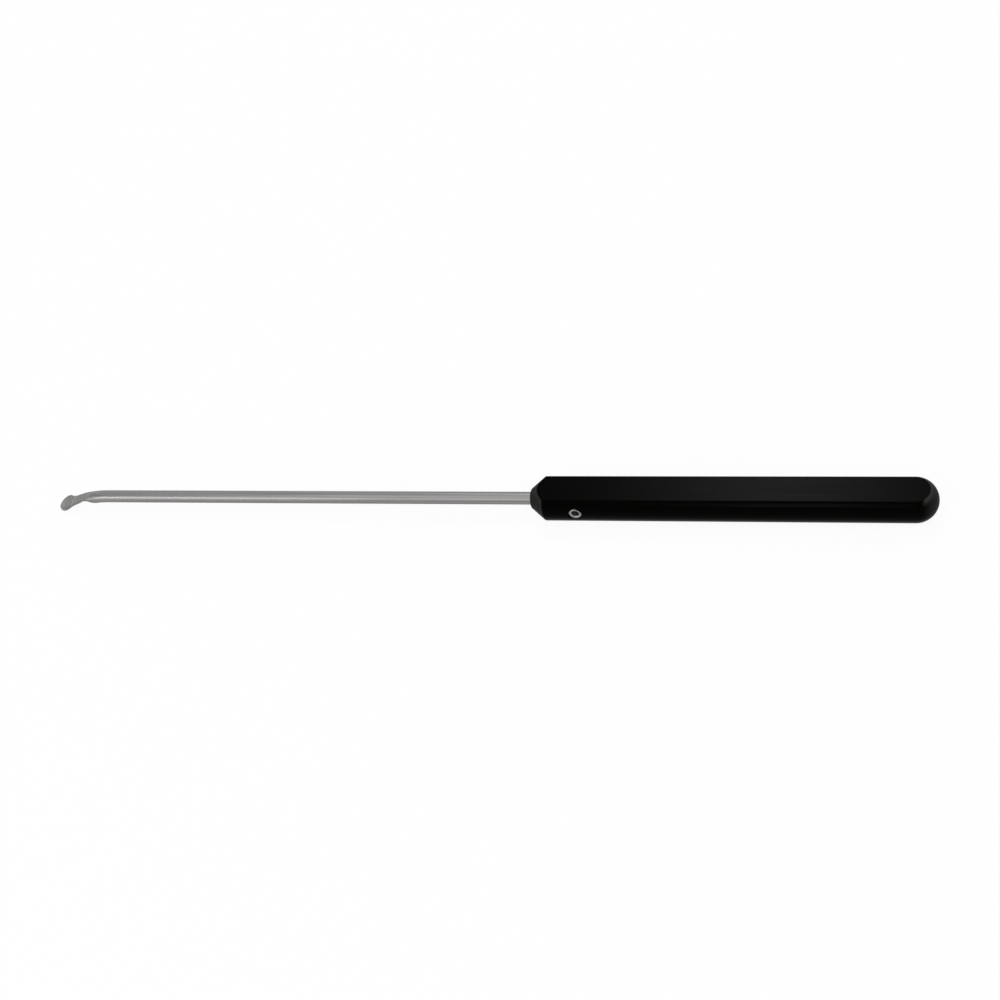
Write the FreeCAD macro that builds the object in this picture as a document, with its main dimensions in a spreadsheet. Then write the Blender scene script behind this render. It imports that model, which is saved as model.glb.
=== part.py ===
import FreeCAD, Part
import math
import os
import Sketcher

from FreeCAD import Placement, Rotation, Vector

# A slim arthroscopic elevator: a black bar handle with two flats, a steel rod shaft that
# ends in a bent and ground blade, and the socket set screw that holds the two together.
#
# Millimetres and degrees. +X runs along the instrument from the blade to the domed end of
# the handle, +Z is up, square to the flats, and the set screw looks along -Y. The origin
# is the middle of the lower flat, on which the instrument lies.

SIZES = {
    # Handle: a round bar with two flats, a coned nose and a domed end
    "handle_diameter": 12.7,
    "handle_length": 113.7,
    "across_flats": 9.525,
    "nose_face_diameter": 5.6,
    "nose_half_angle": 40.0,
    # Bore of the handle, drilled, with a pointed end
    "bore_clearance": 0.02,
    "bore_spare_depth": 1.5,
    "drill_point_angle": 118.0,
    "bore_mouth_flare": 0.2,
    # Shaft: a plain rod, its tang inside the handle
    "shaft_diameter": 3.7,
    "shaft_reach": 151.3,
    "tang_length": 38.0,
    "tang_flat_depth": 1.0,
    "tang_flat_length": 9.0,
    "tang_end_chamfer": 0.3,
    # Bend and grinding of the blade
    "bend_setback": 18.1,
    "bend_radius": 25.5,
    "bend_angle": 22.5,
    "blade_top_height": 1.17,
    "blade_root_setback": 9.2,
    "blade_root_thickness": 0.62,
    "blade_end_thickness": 0.4,
    "belly_radius": 25.0,
    "underside_wheel_radius": 5.0,
    "underside_wheel_setback": 10.9,
    "side_wheel_radius": 9.0,
    # Outline of the leaf, seen from above
    "leaf_width": 5.2,
    "neck_width": 2.8,
    "neck_fillet_radius": 4.5,
    # Set screw, a short socket screw with a flat point
    "screw_diameter": 4.0,
    "screw_length": 5.0,
    "screw_setback": 13.5,
    "screw_tilt": 5.0,
    "thread_clearance": 0.02,
    "point_diameter": 2.5,
    "face_diameter": 3.5,
    "socket_across_flats": 2.0,
    "socket_depth": 1.8,
    "hole_mouth_flare": 0.15,
}

# How far a cutting profile runs past the surface that it trims
OVERRUN = 2.0

# Slope of the flared mouth of a hole
FLARE_ANGLE = 45

# Geometry numbers that a sketch keeps for its own origin and axes
X_AXIS = -1
Y_AXIS = -2
POINTS = ("edge", "start", "end", "centre")
START = POINTS.index("start")
END = POINTS.index("end")
CENTRE = POINTS.index("centre")
ORIGIN = (X_AXIS, START)


def make_sheet(document):
    """One row for each driving size: its words, and its value under its alias."""
    sheet = document.addObject("Spreadsheet::Sheet", "Sizes")
    for row, (alias, value) in enumerate(SIZES.items(), start=1):
        sheet.set(f"A{row}", alias.replace("_", " "))
        sheet.set(f"B{row}", str(value))
        sheet.setAlias(f"B{row}", alias)
    document.recompute()
    return sheet


def make_body(document, label):
    body = document.addObject("PartDesign::Body", label)
    body.Label = label
    return body


def origin_plane(body, role):
    """The body's own XY_Plane, XZ_Plane or YZ_Plane."""
    return next(f for f in body.Origin.OriginFeatures if f.Role == role)


def make_sketch(body, name, role):
    """A sketch on one of the body's own planes."""
    sketch = body.newObject("Sketcher::SketchObject", name)
    sketch.AttachmentSupport = [(origin_plane(body, role), "")]
    sketch.MapMode = "FlatFace"
    return sketch


def lean_back(sketch):
    """Turn a sketch about the X axis, so that its -Y side looks up by the screw's tilt."""
    sketch.AttachmentOffset = Placement(Vector(), Rotation(Vector(-1, 0, 0), 1))
    sketch.setExpression("AttachmentOffset.Rotation.Angle", "Sizes.screw_tilt")


def line(sketch, start, end, construction=False):
    segment = Part.LineSegment(Vector(*start, 0), Vector(*end, 0))
    return sketch.addGeometry(segment, construction)


def arc(sketch, centre, radius, first_angle, last_angle):
    """An arc, counter-clockwise from the first angle to the last, in degrees."""
    circle = Part.Circle(Vector(*centre, 0), Vector(0, 0, 1), radius)
    first, last = math.radians(first_angle), math.radians(last_angle)
    return sketch.addGeometry(Part.ArcOfCircle(circle, first, last), False)


def rule(sketch, kind, *where):
    """A constraint without a size."""
    sketch.addConstraint(Sketcher.Constraint(kind, *where))


def size(sketch, name, kind, where, formula, value):
    """A constraint with a name and a size that a formula of the sheet's cells drives."""
    index = sketch.addConstraint(Sketcher.Constraint(kind, *where, value))
    sketch.renameConstraint(index, name)
    sketch.setExpression(f"Constraints.{name}", formula)


def x_of(sketch, name, point, formula, value):
    size(sketch, name, "DistanceX", (*ORIGIN, *point), formula, value)


def y_of(sketch, name, point, formula, value):
    size(sketch, name, "DistanceY", (*ORIGIN, *point), formula, value)


def slope(sketch, name, segment, formula, degrees):
    """The direction of a line, from its start to its end, against the sketch's X."""
    size(sketch, name, "Angle", (segment,), formula, math.radians(degrees))


def outline(sketch, corners):
    """A closed loop of straight lines through the corners."""
    sides = [line(sketch, a, b) for a, b in zip(corners, corners[1:] + corners[:1])]
    for one, after in zip(sides, sides[1:] + sides[:1]):
        rule(sketch, "Coincident", one, END, after, START)
    return sides


def revolve(body, kind, name, sketch, axis):
    """A Revolution or a Groove, once round the axis."""
    feature = body.newObject(f"PartDesign::{kind}", name)
    feature.Profile = sketch
    feature.ReferenceAxis = (sketch, [axis])
    feature.Angle = 360
    return feature


def cut_through(body, name, sketch):
    """A Pocket right through the body, to both sides of its sketch."""
    pocket = body.newObject("PartDesign::Pocket", name)
    pocket.Profile = sketch
    pocket.Type = "ThroughAll"
    pocket.SideType = "Symmetric"
    return pocket


def drill_point_length(radius):
    return radius / math.tan(math.radians(SIZES["drill_point_angle"] / 2))


# Handle. Its own origin is on its axis, half way along its length.


def handle_profile(body):
    """Half section of the turned bar: coned nose, cylinder, domed end."""
    half = SIZES["handle_length"] / 2
    radius = SIZES["handle_diameter"] / 2
    face = SIZES["nose_face_diameter"] / 2
    cone = (radius - face) / math.tan(math.radians(SIZES["nose_half_angle"]))
    sketch = make_sketch(body, "HandleProfile", "XZ_Plane")
    nose = line(sketch, (-half, 0), (-half, face))
    taper = line(sketch, (-half, face), (-half + cone, radius))
    side = line(sketch, (-half + cone, radius), (half - radius, radius))
    dome = arc(sketch, (half - radius, 0), radius, 0, 90)
    axis = line(sketch, (half, 0), (-half, 0))
    rule(sketch, "Coincident", nose, END, taper, START)
    rule(sketch, "Coincident", taper, END, side, START)
    rule(sketch, "Coincident", dome, START, axis, START)
    rule(sketch, "Coincident", axis, END, nose, START)
    rule(sketch, "Tangent", side, END, dome, END)
    rule(sketch, "Vertical", nose)
    rule(sketch, "Horizontal", side)
    rule(sketch, "PointOnObject", nose, START, X_AXIS)
    rule(sketch, "PointOnObject", dome, START, X_AXIS)
    rule(sketch, "PointOnObject", dome, CENTRE, X_AXIS)
    x_of(sketch, "nose_place", (nose, START), "-Sizes.handle_length / 2", -half)
    x_of(sketch, "dome_end", (dome, START), "Sizes.handle_length / 2", half)
    size(sketch, "face_radius", "DistanceY", (nose, START, nose, END),
         "Sizes.nose_face_diameter / 2", face)
    y_of(sketch, "bar_radius", (side, START), "Sizes.handle_diameter / 2", radius)
    slope(sketch, "nose_angle", taper, "Sizes.nose_half_angle", SIZES["nose_half_angle"])
    return sketch


def flats_outline(body):
    """What is milled off the bar: a strip above the upper flat and one below the lower."""
    radius = SIZES["handle_diameter"] / 2
    flat = SIZES["across_flats"] / 2
    reach = radius + OVERRUN
    sketch = make_sketch(body, "FlatsOutline", "YZ_Plane")
    for name, sign in (("upper", 1), ("lower", -1)):
        bottom, right, top, left = outline(sketch, [
            (-reach, sign * flat), (reach, sign * flat),
            (reach, sign * reach), (-reach, sign * reach)])
        rule(sketch, "Horizontal", top)
        for upright in (right, left):
            rule(sketch, "Vertical", upright)
        rule(sketch, "Symmetric", bottom, START, bottom, END, Y_AXIS)
        x_of(sketch, f"{name}_reach", (bottom, END),
             f"Sizes.handle_diameter / 2 + {OVERRUN}", reach)
        y_of(sketch, f"{name}_flat", (bottom, END),
             f"{sign} * Sizes.across_flats / 2", sign * flat)
        y_of(sketch, f"{name}_edge", (top, END),
             f"{sign} * (Sizes.handle_diameter / 2 + {OVERRUN})", sign * reach)
    return sketch


def bore_profile(body):
    """Half section of the drilled bore: flared mouth, straight wall, pointed end."""
    face = -SIZES["handle_length"] / 2
    radius = (SIZES["shaft_diameter"] + SIZES["bore_clearance"]) / 2
    depth = SIZES["tang_length"] + SIZES["bore_spare_depth"]
    flare = SIZES["bore_mouth_flare"]
    mouth = radius + flare + OVERRUN
    point = drill_point_length(radius)
    sketch = make_sketch(body, "BoreProfile", "XZ_Plane")
    front, rim, wall, cone, axis = outline(sketch, [
        (face - OVERRUN, 0), (face - OVERRUN, mouth), (face + flare, radius),
        (face + depth, radius), (face + depth + point, 0)])
    rule(sketch, "Vertical", front)
    rule(sketch, "Horizontal", wall)
    rule(sketch, "PointOnObject", axis, START, X_AXIS)
    rule(sketch, "PointOnObject", axis, END, X_AXIS)
    x_of(sketch, "front", (front, START), f"-Sizes.handle_length / 2 - {OVERRUN}", face - OVERRUN)
    x_of(sketch, "flare_depth", (wall, START),
         "-Sizes.handle_length / 2 + Sizes.bore_mouth_flare", face + flare)
    y_of(sketch, "wall_radius", (wall, START),
         "(Sizes.shaft_diameter + Sizes.bore_clearance) / 2", radius)
    x_of(sketch, "depth", (wall, END),
         "-Sizes.handle_length / 2 + Sizes.tang_length + Sizes.bore_spare_depth", face + depth)
    slope(sketch, "flare_angle", rim, f"-{FLARE_ANGLE}", -FLARE_ANGLE)
    slope(sketch, "point_angle", cone, "-Sizes.drill_point_angle / 2",
          -SIZES["drill_point_angle"] / 2)
    return sketch


def screw_hole_profile(body):
    """Half section of the tapped hole, from the bore's axis out through the -Y wall."""
    centre = SIZES["screw_setback"] - SIZES["handle_length"] / 2
    radius = (SIZES["screw_diameter"] + SIZES["thread_clearance"]) / 2
    surface = SIZES["handle_diameter"] / 2
    flare = SIZES["hole_mouth_flare"]
    sketch = make_sketch(body, "ScrewHoleProfile", "XY_Plane")
    inner, wall, rim, outer, axis = outline(sketch, [
        (centre, 0), (centre + radius, 0), (centre + radius, flare - surface),
        (centre + radius + flare + OVERRUN, -surface - OVERRUN), (centre, -surface - OVERRUN)])
    spine = line(sketch, (centre, 0), (centre, -surface), construction=True)
    rule(sketch, "Vertical", wall)
    rule(sketch, "Horizontal", outer)
    rule(sketch, "Vertical", axis)
    rule(sketch, "Vertical", spine)
    rule(sketch, "Coincident", spine, START, inner, START)
    rule(sketch, "PointOnObject", inner, START, X_AXIS)
    rule(sketch, "PointOnObject", wall, START, X_AXIS)
    x_of(sketch, "setback", (inner, START),
         "Sizes.screw_setback - Sizes.handle_length / 2", centre)
    size(sketch, "wall_radius", "DistanceX", (inner, START, inner, END),
         "(Sizes.screw_diameter + Sizes.thread_clearance) / 2", radius)
    y_of(sketch, "flare_depth", (wall, END),
         "Sizes.hole_mouth_flare - Sizes.handle_diameter / 2", flare - surface)
    y_of(sketch, "outside", (outer, START),
         f"-Sizes.handle_diameter / 2 - {OVERRUN}", -surface - OVERRUN)
    slope(sketch, "flare_angle", rim, f"-{FLARE_ANGLE}", -FLARE_ANGLE)
    y_of(sketch, "spine_end", (spine, END), "-Sizes.handle_diameter / 2", -surface)
    lean_back(sketch)
    return sketch


def make_handle(document):
    body = make_body(document, "handle")
    revolve(body, "Revolution", "TurnedBar", handle_profile(body), "H_Axis")
    cut_through(body, "Flats", flats_outline(body))
    revolve(body, "Groove", "Bore", bore_profile(body), "H_Axis")
    revolve(body, "Groove", "ScrewHole", screw_hole_profile(body), "Axis0")
    body.setExpression("Placement.Base.z", "Sizes.across_flats / 2")
    return body


# Shaft. Its own origin is on its axis, level with the nose of the handle.


def shaft_path(body):
    """Middle line of the rod: straight, then one bend down, then straight into the leaf."""
    tang = SIZES["tang_length"]
    bend = SIZES["bend_setback"] - SIZES["shaft_reach"]
    radius = SIZES["bend_radius"]
    turn = math.radians(SIZES["bend_angle"])
    after = (bend - radius * math.sin(turn), -radius * (1 - math.cos(turn)))
    end = SIZES["leaf_width"] / 2 - SIZES["shaft_reach"]
    drop = after[1] - (after[0] - end) * math.tan(turn)
    sketch = make_sketch(body, "ShaftPath", "XZ_Plane")
    rod = line(sketch, (tang, 0), (bend, 0))
    turned = arc(sketch, (bend, -radius), radius, 90, 90 + SIZES["bend_angle"])
    tip = line(sketch, after, (end, drop))
    rule(sketch, "Horizontal", rod)
    rule(sketch, "PointOnObject", rod, START, X_AXIS)
    rule(sketch, "Tangent", rod, END, turned, START)
    rule(sketch, "Tangent", turned, END, tip, START)
    x_of(sketch, "tang", (rod, START), "Sizes.tang_length", tang)
    x_of(sketch, "bend_place", (rod, END), "Sizes.bend_setback - Sizes.shaft_reach", bend)
    size(sketch, "bend_radius", "Radius", (turned,), "Sizes.bend_radius", radius)
    slope(sketch, "bend_angle", tip, "Sizes.bend_angle - 180", SIZES["bend_angle"] - 180)
    x_of(sketch, "rod_end", (tip, END), "Sizes.leaf_width / 2 - Sizes.shaft_reach", end)
    return sketch


def make_rod(body):
    """The rod, swept along its middle line."""
    path = shaft_path(body)
    section = make_sketch(body, "RodSection", "YZ_Plane")
    section.setExpression("AttachmentOffset.Base.z", "Sizes.tang_length")
    circle = Part.Circle(Vector(0, 0, 0), Vector(0, 0, 1), SIZES["shaft_diameter"] / 2)
    ring = section.addGeometry(circle, False)
    rule(section, "Coincident", ring, CENTRE, *ORIGIN)
    size(section, "diameter", "Diameter", (ring,), "Sizes.shaft_diameter",
         SIZES["shaft_diameter"])
    rod = body.newObject("PartDesign::AdditivePipe", "Rod")
    rod.Profile = section
    rod.Spine = path
    return path


def leaf_outline(body):
    """The leaf from above: a round end that runs through two hollow curves into the neck."""
    radius = SIZES["leaf_width"] / 2
    neck = SIZES["neck_width"] / 2
    hollow = SIZES["neck_fillet_radius"]
    middle = radius - SIZES["shaft_reach"]
    root = SIZES["blade_root_setback"] - SIZES["shaft_reach"]
    run = math.sqrt((radius + hollow) ** 2 - (neck + hollow) ** 2)
    slope = math.degrees(math.atan2(neck + hollow, run))
    sketch = make_sketch(body, "LeafOutline", "XY_Plane")
    far = line(sketch, (root, neck), (middle + run, neck))
    far_hollow = arc(sketch, (middle + run, neck + hollow), hollow, 180 + slope, 270)
    leaf = arc(sketch, (middle, 0), radius, slope, 360 - slope)
    near_hollow = arc(sketch, (middle + run, -neck - hollow), hollow, 90, 180 - slope)
    near = line(sketch, (middle + run, -neck), (root, -neck))
    back = line(sketch, (root, -neck), (root, neck))
    rule(sketch, "Coincident", near, END, back, START)
    rule(sketch, "Coincident", back, END, far, START)
    rule(sketch, "Tangent", far, END, far_hollow, END)
    rule(sketch, "Tangent", far_hollow, START, leaf, START)
    rule(sketch, "Tangent", leaf, END, near_hollow, END)
    rule(sketch, "Tangent", near_hollow, START, near, START)
    rule(sketch, "Horizontal", far)
    rule(sketch, "Horizontal", near)
    rule(sketch, "Symmetric", back, START, back, END, X_AXIS)
    rule(sketch, "PointOnObject", leaf, CENTRE, X_AXIS)
    rule(sketch, "Equal", far_hollow, near_hollow)
    x_of(sketch, "leaf_place", (leaf, CENTRE), "Sizes.leaf_width / 2 - Sizes.shaft_reach", middle)
    x_of(sketch, "root_place", (back, START),
         "Sizes.blade_root_setback - Sizes.shaft_reach", root)
    size(sketch, "leaf_radius", "Radius", (leaf,), "Sizes.leaf_width / 2", radius)
    size(sketch, "hollow_radius", "Radius", (far_hollow,), "Sizes.neck_fillet_radius", hollow)
    size(sketch, "neck", "DistanceY", (back, START, back, END), "Sizes.neck_width", 2 * neck)
    return sketch


def side_grinding_outline(body):
    """What is ground off both sides of the rod, seen from above, to leave the neck.

    The wheel enters from the side behind the neck and then runs straight to the end.
    """
    neck = SIZES["neck_width"] / 2
    wheel = SIZES["side_wheel_radius"]
    enter = SIZES["shaft_diameter"] / 2 + OVERRUN
    root = SIZES["blade_root_setback"] - SIZES["shaft_reach"]
    front = -SIZES["shaft_reach"] - OVERRUN
    rise = math.degrees(math.acos(1 - (enter - neck) / wheel))
    enter_x = root + wheel * math.sin(math.radians(rise))
    sketch = make_sketch(body, "SideGrindingOutline", "XY_Plane")
    for name, sign in (("far", 1), ("near", -1)):
        side = line(sketch, (front, sign * neck), (root, sign * neck))
        first, last = (-90, rise - 90) if sign > 0 else (90 - rise, 90)
        curve = arc(sketch, (root, sign * (neck + wheel)), wheel, first, last)
        foot, lip = (START, END) if sign > 0 else (END, START)
        outer = line(sketch, (enter_x, sign * enter), (front, sign * enter))
        closing = line(sketch, (front, sign * enter), (front, sign * neck))
        rule(sketch, "Tangent", side, END, curve, foot)
        rule(sketch, "Coincident", curve, lip, outer, START)
        rule(sketch, "Coincident", outer, END, closing, START)
        rule(sketch, "Coincident", closing, END, side, START)
        rule(sketch, "Horizontal", side)
        rule(sketch, "Horizontal", outer)
        rule(sketch, "Vertical", closing)
        x_of(sketch, f"{name}_root", (side, END),
             "Sizes.blade_root_setback - Sizes.shaft_reach", root)
        y_of(sketch, f"{name}_neck", (side, END), f"{sign} * Sizes.neck_width / 2", sign * neck)
        size(sketch, f"{name}_wheel", "Radius", (curve,), "Sizes.side_wheel_radius", wheel)
        y_of(sketch, f"{name}_enter", (outer, START),
             f"{sign} * (Sizes.shaft_diameter / 2 + {OVERRUN})", sign * enter)
        x_of(sketch, f"{name}_front", (side, START), f"-Sizes.shaft_reach - {OVERRUN}", front)
    return sketch


def grinding_outline(body, path):
    """What is ground off the blade, seen from the side.

    Above, a flat face parallel to the bent end of the rod. Below, a gently rounded belly
    under the leaf and, behind it, the hollow of the wheel that runs out on the rod.
    """
    turn = math.radians(SIZES["bend_angle"])
    high = SIZES["handle_diameter"]
    front = -SIZES["shaft_reach"] - OVERRUN
    root = SIZES["blade_root_setback"] - SIZES["shaft_reach"]
    wheel = SIZES["underside_wheel_radius"]
    belly_radius = SIZES["belly_radius"]
    bend = SIZES["bend_setback"] - SIZES["shaft_reach"]
    bend_end = (bend - SIZES["bend_radius"] * math.sin(turn),
                -SIZES["bend_radius"] * (1 - math.cos(turn)))

    def top_height(x):
        along = bend_end[1] - (bend_end[0] - x) * math.tan(turn)
        return along + SIZES["blade_top_height"] / math.cos(turn)

    root_foot = (root, top_height(root) - SIZES["blade_root_thickness"] / math.cos(turn))
    end = -SIZES["shaft_reach"] - OVERRUN / 4
    end_foot = (end, top_height(end) - SIZES["blade_end_thickness"] / math.cos(turn))
    middle = ((root_foot[0] + end_foot[0]) / 2, (root_foot[1] + end_foot[1]) / 2)
    chord = math.dist(root_foot, end_foot)
    chord_angle = math.atan2(root_foot[1] - end_foot[1], root_foot[0] - end_foot[0])
    depth = math.sqrt(belly_radius ** 2 - chord ** 2 / 4)
    belly_centre = (middle[0] - depth * math.sin(chord_angle),
                    middle[1] + depth * math.cos(chord_angle))
    spread = math.degrees(math.asin(chord / 2 / belly_radius))
    lowest = math.degrees(chord_angle) - 90
    wheel_x = SIZES["underside_wheel_setback"] - SIZES["shaft_reach"]
    wheel_centre = (wheel_x, root_foot[1] - math.sqrt(wheel ** 2 - (wheel_x - root) ** 2))
    leave = -SIZES["shaft_diameter"] / 2 - OVERRUN
    leave_angle = math.asin((leave - wheel_centre[1]) / wheel)
    enter_angle = math.atan2(root_foot[1] - wheel_centre[1], root - wheel_x)
    leave_x = wheel_x + wheel * math.cos(leave_angle)
    high_x = front + (high - top_height(front)) / math.tan(turn)

    sketch = make_sketch(body, "GrindingOutline", "XZ_Plane")
    sketch.addExternal(path.Name, "Edge3")
    bent_rod = -3
    face, level, upright = outline(sketch, [
        (front, top_height(front)), (high_x, high), (front, high)])
    rule(sketch, "Horizontal", level)
    rule(sketch, "Vertical", upright)
    rule(sketch, "Parallel", face, bent_rod)
    size(sketch, "top_height", "Distance", (face, START, bent_rod),
         "Sizes.blade_top_height", SIZES["blade_top_height"])
    x_of(sketch, "front_above", (face, START), f"-Sizes.shaft_reach - {OVERRUN}", front)
    y_of(sketch, "above", (level, START), "Sizes.handle_diameter", high)

    belly = arc(sketch, belly_centre, belly_radius, lowest - spread, lowest + spread)
    hollow = arc(sketch, wheel_centre, wheel, math.degrees(leave_angle),
                 math.degrees(enter_angle))
    down = line(sketch, (leave_x, leave), (leave_x, -high))
    floor = line(sketch, (leave_x, -high), (end, -high))
    rise = line(sketch, (end, -high), end_foot)
    rule(sketch, "Coincident", belly, END, hollow, END)
    rule(sketch, "Coincident", hollow, START, down, START)
    rule(sketch, "Coincident", down, END, floor, START)
    rule(sketch, "Coincident", floor, END, rise, START)
    rule(sketch, "Coincident", rise, END, belly, START)
    rule(sketch, "Vertical", down)
    rule(sketch, "Horizontal", floor)
    rule(sketch, "Vertical", rise)
    size(sketch, "root_thickness", "Distance", (belly, END, face),
         "Sizes.blade_root_thickness", SIZES["blade_root_thickness"])
    size(sketch, "end_thickness", "Distance", (belly, START, face),
         "Sizes.blade_end_thickness", SIZES["blade_end_thickness"])
    size(sketch, "belly", "Radius", (belly,), "Sizes.belly_radius", belly_radius)
    x_of(sketch, "root", (belly, END), "Sizes.blade_root_setback - Sizes.shaft_reach", root)
    x_of(sketch, "end", (rise, START), f"-Sizes.shaft_reach - {OVERRUN} / 4", end)
    size(sketch, "wheel", "Radius", (hollow,), "Sizes.underside_wheel_radius", wheel)
    x_of(sketch, "wheel_place", (hollow, CENTRE),
         "Sizes.underside_wheel_setback - Sizes.shaft_reach", wheel_x)
    y_of(sketch, "leave", (hollow, START), f"-Sizes.shaft_diameter / 2 - {OVERRUN}", leave)
    y_of(sketch, "below", (floor, START), "-Sizes.handle_diameter", -high)
    return sketch


def tang_flat_outline(body):
    """The small flat on the -Y side of the tang, under the point of the set screw."""
    radius = SIZES["shaft_diameter"] / 2
    low = SIZES["tang_flat_depth"] - radius
    edge = -radius - OVERRUN
    first = SIZES["screw_setback"] - SIZES["tang_flat_length"] / 2
    last = SIZES["screw_setback"] + SIZES["tang_flat_length"] / 2
    sketch = make_sketch(body, "TangFlatOutline", "XY_Plane")
    outer, right, flat, left = outline(sketch, [
        (first, edge), (last, edge), (last, low), (first, low)])
    for level in (outer, flat):
        rule(sketch, "Horizontal", level)
    for upright in (right, left):
        rule(sketch, "Vertical", upright)
    x_of(sketch, "first", (outer, START),
         "Sizes.screw_setback - Sizes.tang_flat_length / 2", first)
    x_of(sketch, "last", (outer, END),
         "Sizes.screw_setback + Sizes.tang_flat_length / 2", last)
    y_of(sketch, "depth", (flat, START),
         "Sizes.tang_flat_depth - Sizes.shaft_diameter / 2", low)
    y_of(sketch, "edge", (outer, START), f"-Sizes.shaft_diameter / 2 - {OVERRUN}", edge)
    lean_back(sketch)
    return sketch


def edges_where(feature, wanted):
    """Names of the feature's edges that the test accepts."""
    return [f"Edge{n}" for n, edge in enumerate(feature.Shape.Edges, start=1) if wanted(edge)]


def bevel(body, name, feature, edges, cell):
    chamfer = body.newObject("PartDesign::Chamfer", name)
    chamfer.Base = (feature, edges)
    chamfer.setExpression("Size", f"Sizes.{cell}")
    return chamfer


def make_shaft(document):
    body = make_body(document, "shaft")
    path = make_rod(body)
    cut_through(body, "SideGrinding", side_grinding_outline(body))
    leaf = body.newObject("PartDesign::Pad", "LeafBlock")
    leaf.Profile = leaf_outline(body)
    leaf.SideType = "Symmetric"
    leaf.setExpression("Length", "Sizes.handle_diameter")
    document.recompute()
    cut_through(body, "Grinding", grinding_outline(body, path))
    flat = cut_through(body, "TangFlat", tang_flat_outline(body))
    document.recompute()

    def at_tang_end(edge):
        return edge.BoundBox.XMin > SIZES["tang_length"] - 0.001

    bevel(body, "TangEnd", flat, edges_where(flat, at_tang_end), "tang_end_chamfer")
    body.setExpression("Placement.Base.x", "-Sizes.handle_length / 2")
    body.setExpression("Placement.Base.z", "Sizes.across_flats / 2")
    return body


# Set screw. Its own origin is the middle of its point, and its own Z runs out to its face.


def screw_profile(body):
    """Half section of the screw: flat point, tapered end, thread's outside, bevelled rim."""
    point = SIZES["point_diameter"] / 2
    radius = SIZES["screw_diameter"] / 2
    face = SIZES["face_diameter"] / 2
    length = SIZES["screw_length"]
    sketch = make_sketch(body, "ScrewProfile", "XZ_Plane")
    seat, taper, side, rim, top, axis = outline(sketch, [
        (0, 0), (point, 0), (radius, radius - point),
        (radius, length - radius + face), (face, length), (0, length)])
    rule(sketch, "Coincident", seat, START, *ORIGIN)
    rule(sketch, "Horizontal", seat)
    rule(sketch, "Vertical", side)
    rule(sketch, "Horizontal", top)
    rule(sketch, "Vertical", axis)
    x_of(sketch, "point_radius", (seat, END), "Sizes.point_diameter / 2", point)
    x_of(sketch, "radius", (side, START), "Sizes.screw_diameter / 2", radius)
    x_of(sketch, "face_radius", (rim, END), "Sizes.face_diameter / 2", face)
    y_of(sketch, "length", (top, START), "Sizes.screw_length", length)
    size(sketch, "point_bevel", "DistanceY", (taper, START, taper, END),
         "(Sizes.screw_diameter - Sizes.point_diameter) / 2", radius - point)
    size(sketch, "rim_bevel", "DistanceY", (rim, START, rim, END),
         "(Sizes.screw_diameter - Sizes.face_diameter) / 2", radius - face)
    return sketch


def make_set_screw(document):
    body = make_body(document, "set_screw")
    revolve(body, "Revolution", "Blank", screw_profile(body), "V_Axis")

    socket = body.newObject("PartDesign::SubtractivePrism", "Socket")
    socket.AttachmentSupport = [(origin_plane(body, "XY_Plane"), "")]
    socket.MapMode = "FlatFace"
    socket.Polygon = 6
    socket.setExpression("AttachmentOffset.Base.z", "Sizes.screw_length - Sizes.socket_depth")
    socket.setExpression("Circumradius", "Sizes.socket_across_flats / 2 / cos(30)")
    socket.setExpression("Height", f"Sizes.socket_depth + {OVERRUN}")

    drilled = body.newObject("PartDesign::SubtractiveCone", "SocketDrilling")
    drilled.AttachmentSupport = [(origin_plane(body, "XY_Plane"), "")]
    drilled.MapMode = "FlatFace"
    depth = "Sizes.socket_across_flats / 2 / tan(Sizes.drill_point_angle / 2)"
    drilled.Radius1 = 0
    drilled.setExpression("Radius2", "Sizes.socket_across_flats / 2")
    drilled.setExpression("Height", depth)
    drilled.setExpression("AttachmentOffset.Base.z",
                          f"Sizes.screw_length - Sizes.socket_depth - {depth}")

    body.Placement = Placement(Vector(), Rotation(Vector(1, 0, 0), 1))
    seat = "(Sizes.shaft_diameter / 2 - Sizes.tang_flat_depth)"
    body.setExpression("Placement.Rotation.Angle", "90 - Sizes.screw_tilt")
    body.setExpression("Placement.Base.x", "Sizes.screw_setback - Sizes.handle_length / 2")
    body.setExpression("Placement.Base.y", f"-{seat} * cos(Sizes.screw_tilt)")
    body.setExpression("Placement.Base.z",
                       f"Sizes.across_flats / 2 + {seat} * sin(Sizes.screw_tilt)")
    return body


def check_model(document, bodies):
    """Stop at anything that did not build, before a file is written."""
    for item in document.Objects:
        faults = {"Invalid", "Error"} & set(item.State)
        if faults:
            raise RuntimeError(f"{item.Name} is {sorted(faults)}")
    for body in bodies:
        if body.Shape.isNull() or not body.Shape.isValid():
            raise RuntimeError(f"{body.Label} has no valid shape")
        if len(body.Shape.Solids) != 1:
            raise RuntimeError(f"{body.Label} is {len(body.Shape.Solids)} solids")


def main():
    document = FreeCAD.newDocument("ArthroscopicElevator")
    make_sheet(document)
    bodies = [make_handle(document), make_shaft(document), make_set_screw(document)]
    document.recompute()
    check_model(document, bodies)
    os.makedirs("parts", exist_ok=True)
    for body in bodies:
        body.Shape.exportStep(f"parts/{body.Label}.step")
        box = body.Shape.optimalBoundingBox()
        print(f"{body.Label}: {body.Shape.Volume:.2f} mm3, {len(body.Shape.Faces)} faces, "
              f"x {box.XMin:.2f} to {box.XMax:.2f}, y {box.YMin:.2f} to {box.YMax:.2f}, "
              f"z {box.ZMin:.2f} to {box.ZMax:.2f}")


main()
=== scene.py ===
# %% [markdown]
# This is a slim hand instrument for joint surgery: a steel rod with a bent spatula blade,
# clamped in a black bar by one set screw. The construction is already known from the CAD
# model, so this lesson loads it first and keeps its box, then gives each piece a finer
# surface and a finish.
# %% Load the frame
import math
import bpy
import bmesh
from mathutils import Matrix, Vector


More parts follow.
